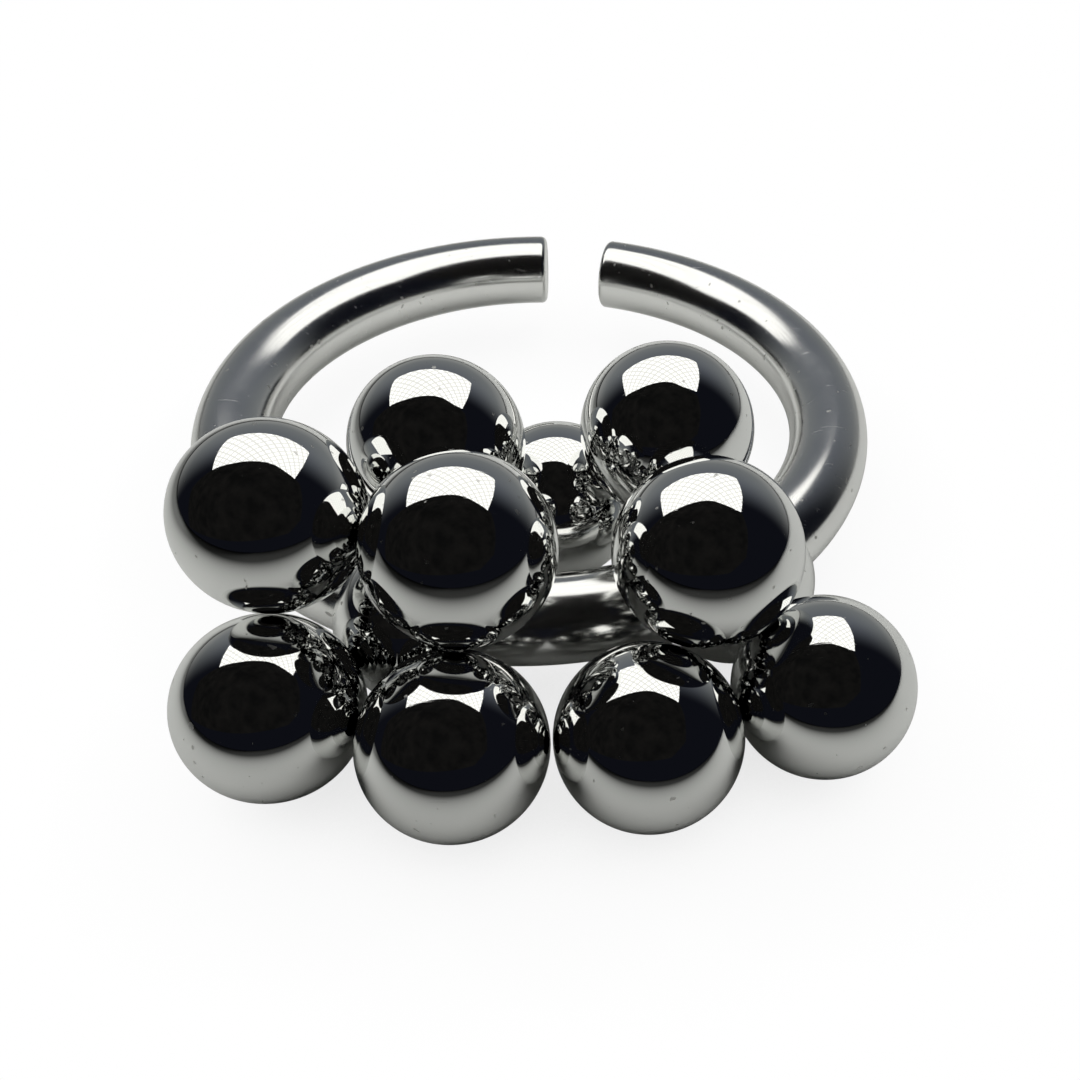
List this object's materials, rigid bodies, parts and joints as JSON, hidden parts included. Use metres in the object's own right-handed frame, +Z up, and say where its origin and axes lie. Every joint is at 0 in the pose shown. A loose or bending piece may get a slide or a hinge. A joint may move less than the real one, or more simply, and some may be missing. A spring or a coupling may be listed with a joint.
{
  "type": "ball cluster ring",
  "caption": "Open round-wire ring with equal mirror-polished metal balls clustered in layers round its front, the hoop left open behind them.",
  "frame": {"origin": "under the middle of the object, on the surface it stands on", "axes": "+Z up, square to the plane of the band; -Y to the front, where the cluster of balls is; the gap in the band is at the +Y end; +X to the right seen from the front"},
  "size_m": [0.0276, 0.0342, 0.0114],
  "materials": {
    "band_metal": "mirror polish with fine handling scratches",
    "ball_metal": "mirror polish with faint hairline scratches"
  },
  "bodies": {
    "root": {"band": "band_metal", "ball_upper_left": "ball_metal", "ball_upper_middle": "ball_metal", "ball_upper_right": "ball_metal", "ball_upper_back_left": "ball_metal", "ball_upper_back_right": "ball_metal", "ball_lower_front_left_outer": "ball_metal", "ball_lower_front_left": "ball_metal", "ball_lower_front_right": "ball_metal", "ball_lower_right": "ball_metal", "ball_lower_inner": "ball_metal", "ball_bored_left": "ball_metal", "ball_bored_right": "ball_metal"}
  },
  "joints": []
}
